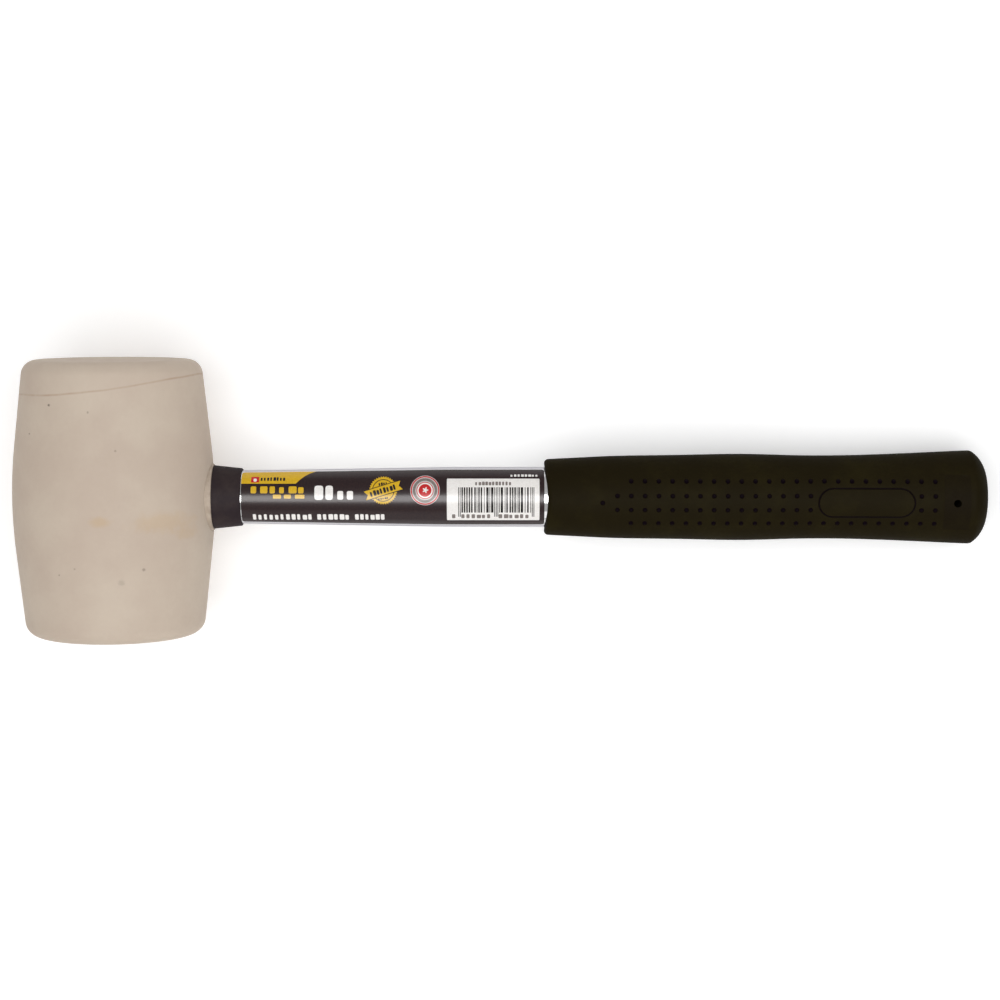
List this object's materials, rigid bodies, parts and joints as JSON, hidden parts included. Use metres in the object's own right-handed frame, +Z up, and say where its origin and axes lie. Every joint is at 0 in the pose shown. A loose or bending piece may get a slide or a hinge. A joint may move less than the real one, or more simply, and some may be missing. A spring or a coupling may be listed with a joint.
{
  "type": "rubber mallet",
  "caption": "Non-marring rubber mallet: barrel head with flat striking faces on a tubular steel handle with a dimpled rubber grip, lying on a bench.",
  "frame": {"origin": "on the bench, below the middle of the mallet's length and width, at the middle of its bounding box's bottom", "axes": "+X from the head towards the butt of the grip, +Y along the head's own axis, +Z up from the bench; the handle slopes down about 3.9 degrees from the head to its butt"},
  "size_m": [0.3288, 0.0932, 0.0678],
  "materials": {
    "head_rubber": "matt off-white rubber",
    "collar_rubber": "matt black",
    "tube_chrome": "polished",
    "dowel_wood": "raw turned beech",
    "adhesive": "cured epoxy",
    "plug_plastic": "satin",
    "grip_rubber": "satin black",
    "label_film": "gloss printed film"
  },
  "bodies": {
    "root": {"head": "head_rubber", "collar": "collar_rubber", "handle_tube": "tube_chrome", "core_plug": "dowel_wood", "eye_bond": "adhesive", "butt_plug": "plug_plastic", "grip": "grip_rubber", "label": "label_film"}
  },
  "joints": []
}
